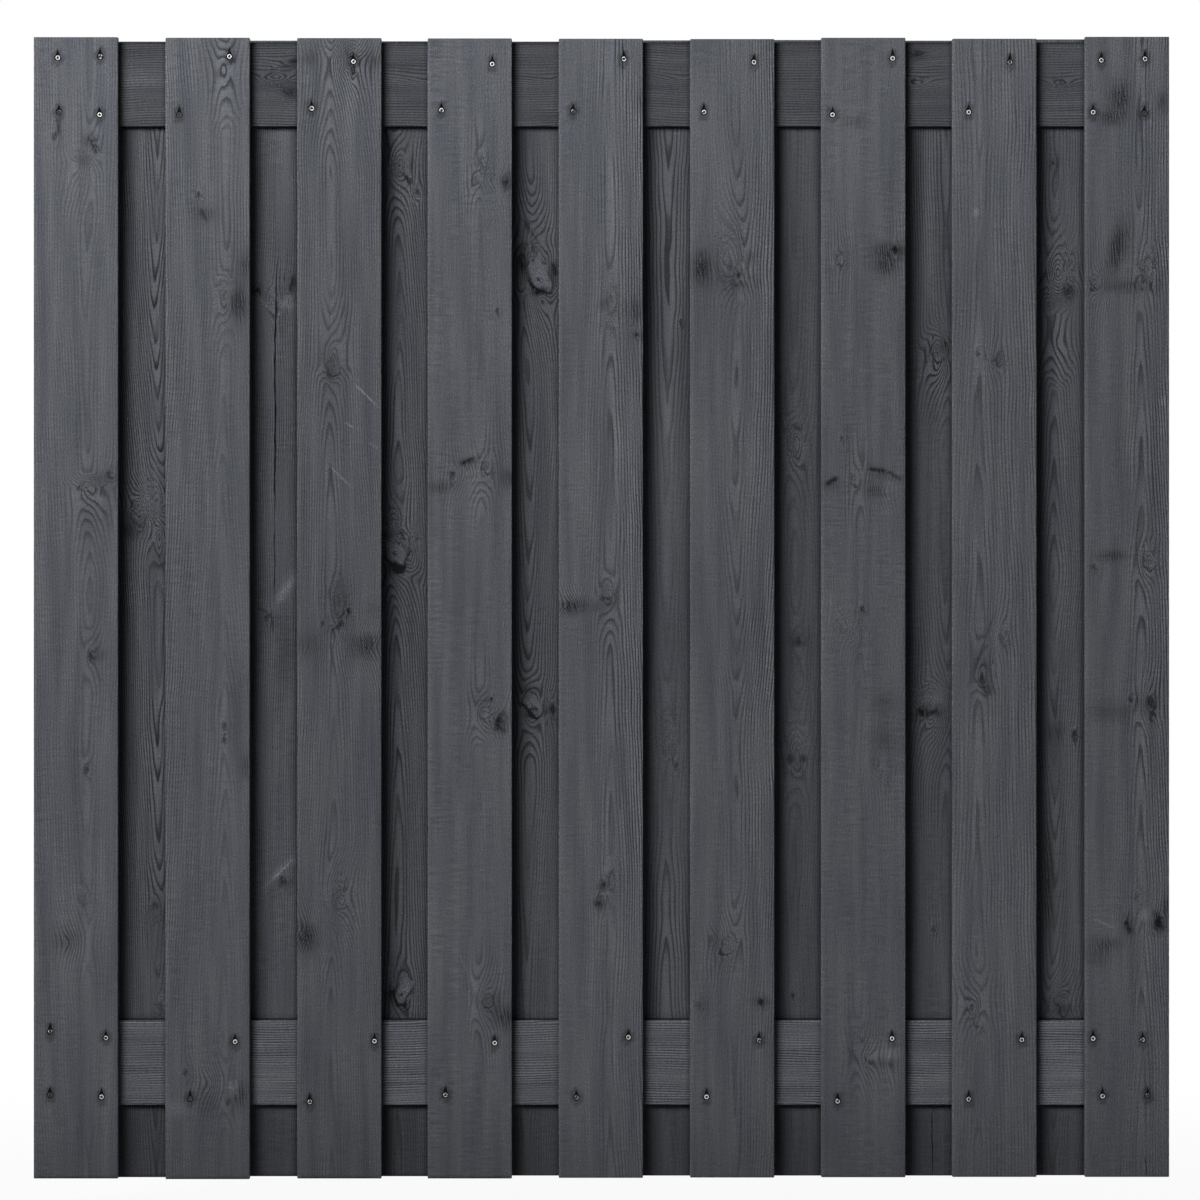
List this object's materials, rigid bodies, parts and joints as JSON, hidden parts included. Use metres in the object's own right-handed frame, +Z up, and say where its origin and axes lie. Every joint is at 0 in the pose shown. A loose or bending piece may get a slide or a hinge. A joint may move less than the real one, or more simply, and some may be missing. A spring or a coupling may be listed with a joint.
{
  "type": "garden screen panel",
  "caption": "Dark-stained softwood hit-and-miss screen: upright boards screwed alternately to the front and the back of horizontal rails.",
  "frame": {"origin": "on the left edge of the first front board, in the middle of its thickness, level with the foot line of the boards", "axes": "+X to the right along the panel seen from its front, +Y from front to back, +Z up"},
  "size_m": [1.793, 0.045, 1.8045],
  "materials": {
    "stained_softwood": "matte",
    "stainless_steel": "satin"
  },
  "bodies": {
    "root": {"front_board_1": "stained_softwood", "front_board_2": "stained_softwood", "front_board_3": "stained_softwood", "front_board_4": "stained_softwood", "front_board_5": "stained_softwood", "front_board_6": "stained_softwood", "front_board_7": "stained_softwood", "front_board_8": "stained_softwood", "front_board_9": "stained_softwood", "rear_board_1": "stained_softwood", "rear_board_2": "stained_softwood", "rear_board_3": "stained_softwood", "rear_board_4": "stained_softwood", "rear_board_5": "stained_softwood", "rear_board_6": "stained_softwood", "rear_board_7": "stained_softwood", "rear_board_8": "stained_softwood", "top_rail": "stained_softwood", "bottom_rail": "stained_softwood", "front_screws_top_rail": "stainless_steel", "front_screws_bottom_rail": "stainless_steel", "rear_screws_top_rail": "stainless_steel", "rear_screws_bottom_rail": "stainless_steel"}
  },
  "joints": []
}
